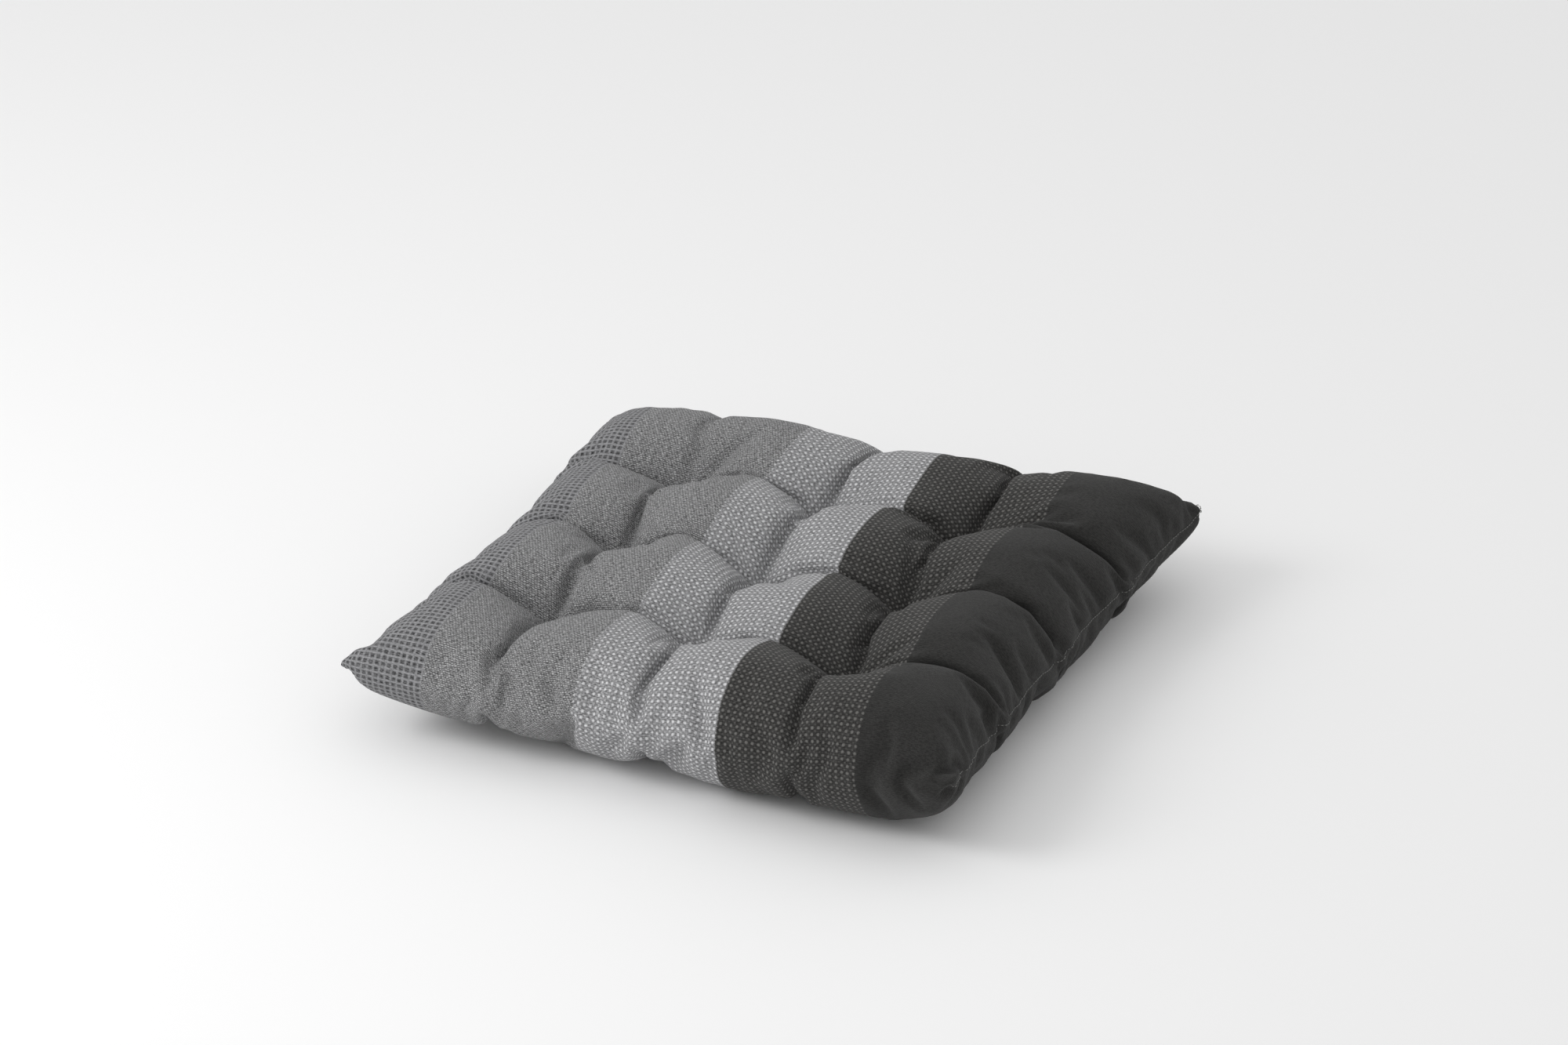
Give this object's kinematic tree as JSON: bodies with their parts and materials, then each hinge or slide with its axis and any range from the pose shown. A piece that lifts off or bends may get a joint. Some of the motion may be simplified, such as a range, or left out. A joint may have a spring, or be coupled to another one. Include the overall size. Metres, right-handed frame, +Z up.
{
  "type": "chair seat pad",
  "caption": "Square tufted chair seat pad with puffed pockets, a striped woven cover over a fibre filling.",
  "frame": {"origin": "bottom centre, on the surface that the pad rests on", "axes": "+Z up through the pad's thickness; the cover's stripes run along Y, from the light side at -X to the dark side at +X"},
  "size_m": [0.46, 0.46, 0.0917],
  "materials": {
    "cover_cloth": "woven, matt, in grey and charcoal stripes",
    "fibre": "loose white polyester fibre",
    "twine": "dark twisted twine",
    "thread": "grey sewing thread"
  },
  "bodies": {
    "root": {"cover": "cover_cloth", "fibre_filling": "fibre", "tuft_twine_1_1": "twine", "tuft_twine_1_2": "twine", "tuft_twine_1_3": "twine", "tuft_twine_2_1": "twine", "tuft_twine_2_2": "twine", "tuft_twine_2_3": "twine", "tuft_twine_3_1": "twine", "tuft_twine_3_2": "twine", "tuft_twine_3_3": "twine", "side_seam_thread_left": "thread", "side_seam_thread_right": "thread", "closing_seam_thread": "thread"}
  },
  "joints": []
}
